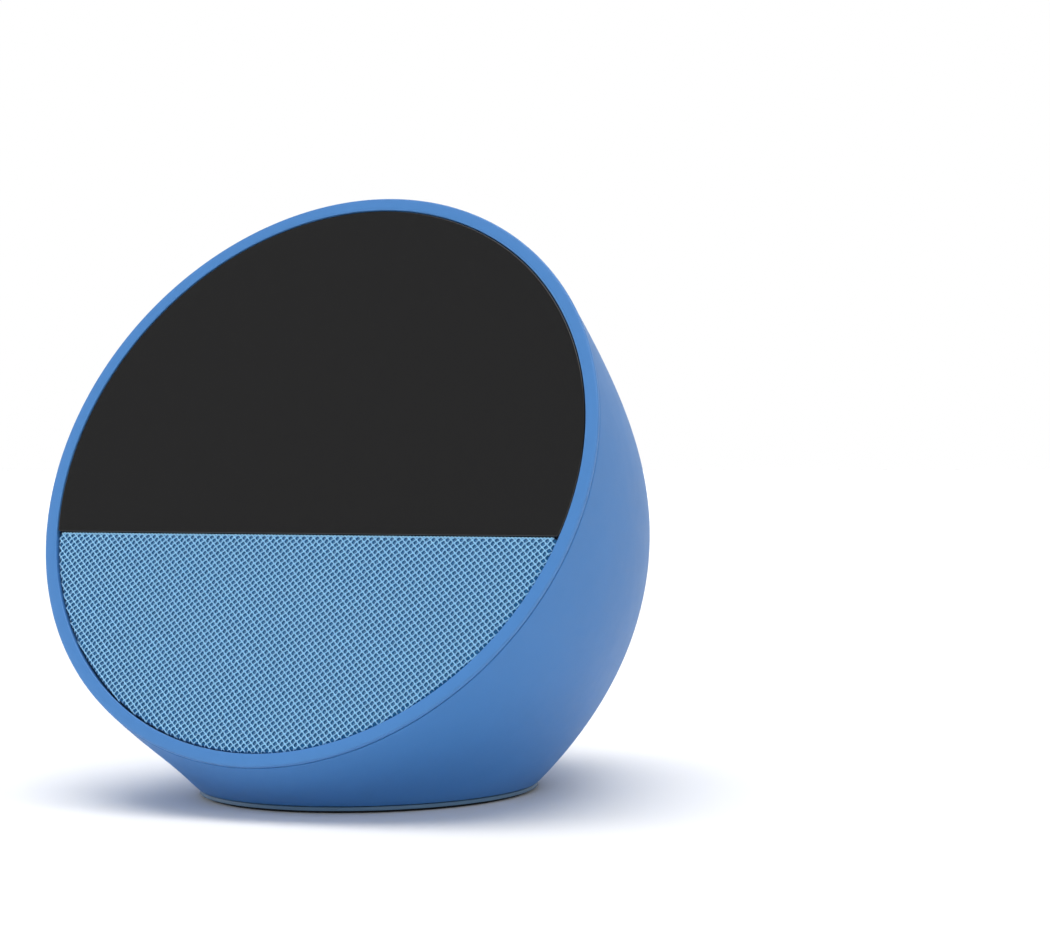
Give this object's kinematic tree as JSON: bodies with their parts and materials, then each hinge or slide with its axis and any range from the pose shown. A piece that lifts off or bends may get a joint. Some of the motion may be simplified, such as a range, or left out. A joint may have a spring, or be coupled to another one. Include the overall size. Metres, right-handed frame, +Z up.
{
  "type": "smart display",
  "caption": "Small smart display: a bowl-shaped housing whose round face leans back, with a half-moon screen above a knitted speaker grille and buttons behind the rim.",
  "frame": {"origin": "centre of the foot pad's underside, on the surface that the display stands on", "axes": "+Z up, -Y towards the viewer (the face looks to -Y and up), +X to the viewer's right when facing the screen"},
  "size_m": [0.113, 0.1024, 0.1101],
  "materials": {
    "housing_plastic": "fine-grained moulded plastic",
    "bezel_plastic": "smooth satin moulded plastic",
    "base_plastic": "fine-grained moulded plastic",
    "screen_glass": "smooth dark cover glass, printed black behind",
    "knit_fabric": "two-tone open knit",
    "black_plastic": "fine-grained moulded plastic",
    "switch_plunger_plastic": "moulded",
    "foot_rubber": "matt rubber",
    "lead_sleeve": "smooth lead sleeve",
    "circuit_board": "solder mask",
    "flex_film": "copper-clad film",
    "bare_steel": "zinc plated",
    "magnet": "plated magnet",
    "heat_sheet": "mill finish",
    "cone_paper": "pressed paper",
    "spider_cloth": "resin-dipped cloth",
    "coil_copper": "enamelled copper winding",
    "pin_brass": "plated contact pin",
    "thermal_pad": "soft filled pad"
  },
  "bodies": {
    "root": {"rear_housing": "housing_plastic", "front_bezel": "bezel_plastic", "base_plate": "base_plastic", "display_glass": "screen_glass", "speaker_fabric": "knit_fabric", "grille_carrier": "black_plastic", "front_chassis": "black_plastic", "speaker_basket": "black_plastic", "speaker_enclosure": "black_plastic", "lcd_panel": "black_plastic", "power_socket": "black_plastic", "volume_down_switch": "black_plastic", "mute_switch": "black_plastic", "volume_up_switch": "black_plastic", "lcd_backlight": "switch_plunger_plastic", "foot_pad": "foot_rubber", "glass_gasket": "foot_rubber", "speaker_gasket": "foot_rubber", "speaker_surround": "foot_rubber", "power_lead": "lead_sleeve", "speaker_lead": "lead_sleeve", "main_board": "circuit_board", "button_board": "circuit_board", "wireless_antenna": "circuit_board", "display_flex": "flex_film", "button_flex": "flex_film", "lcd_tray": "bare_steel", "speaker_top_plate": "bare_steel", "speaker_yoke": "bare_steel", "processor_shield": "bare_steel", "wireless_shield": "bare_steel", "base_screw_1": "bare_steel", "base_screw_2": "bare_steel", "base_screw_3": "bare_steel", "board_screw_1": "bare_steel", "board_screw_2": "bare_steel", "board_screw_3": "bare_steel", "board_screw_4": "bare_steel", "speaker_screw_1": "bare_steel", "speaker_screw_2": "bare_steel", "speaker_screw_3": "bare_steel", "speaker_screw_4": "bare_steel", "button_screw_left": "bare_steel", "button_screw_right": "bare_steel", "microphone_left": "bare_steel", "microphone_right": "bare_steel", "speaker_magnet": "magnet", "heat_spreader": "heat_sheet", "speaker_spider": "spider_cloth", "power_socket_pin": "pin_brass", "thermal_pad": "thermal_pad"},
    "volume_down": {"volume_down_button": "housing_plastic", "volume_down_plunger": "switch_plunger_plastic"},
    "mute": {"mute_button": "housing_plastic", "mute_plunger": "switch_plunger_plastic"},
    "volume_up": {"volume_up_button": "housing_plastic", "volume_up_plunger": "switch_plunger_plastic"},
    "speaker_cone_body": {"speaker_cone": "cone_paper", "dust_cap": "cone_paper", "voice_coil": "coil_copper"}
  },
  "joints": [
    {"name": "volume_down_press", "type": "slide", "parent": "root", "child": "volume_down", "axis": [0, -0.6569, -0.754], "range_m": [0, 0.0005], "stiffness_N_per_m": 1500},
    {"name": "mute_press", "type": "slide", "parent": "root", "child": "mute", "axis": [0, -0.6569, -0.754], "range_m": [0, 0.0005], "stiffness_N_per_m": 1500},
    {"name": "volume_up_press", "type": "slide", "parent": "root", "child": "volume_up", "axis": [0, -0.6569, -0.754], "range_m": [0, 0.0005], "stiffness_N_per_m": 1500},
    {"name": "cone_travel", "type": "slide", "parent": "root", "child": "speaker_cone_body", "axis": [0, -0.8894, 0.4571], "range_m": [-0.0015, 0.0015], "stiffness_N_per_m": 1800}
  ]
}
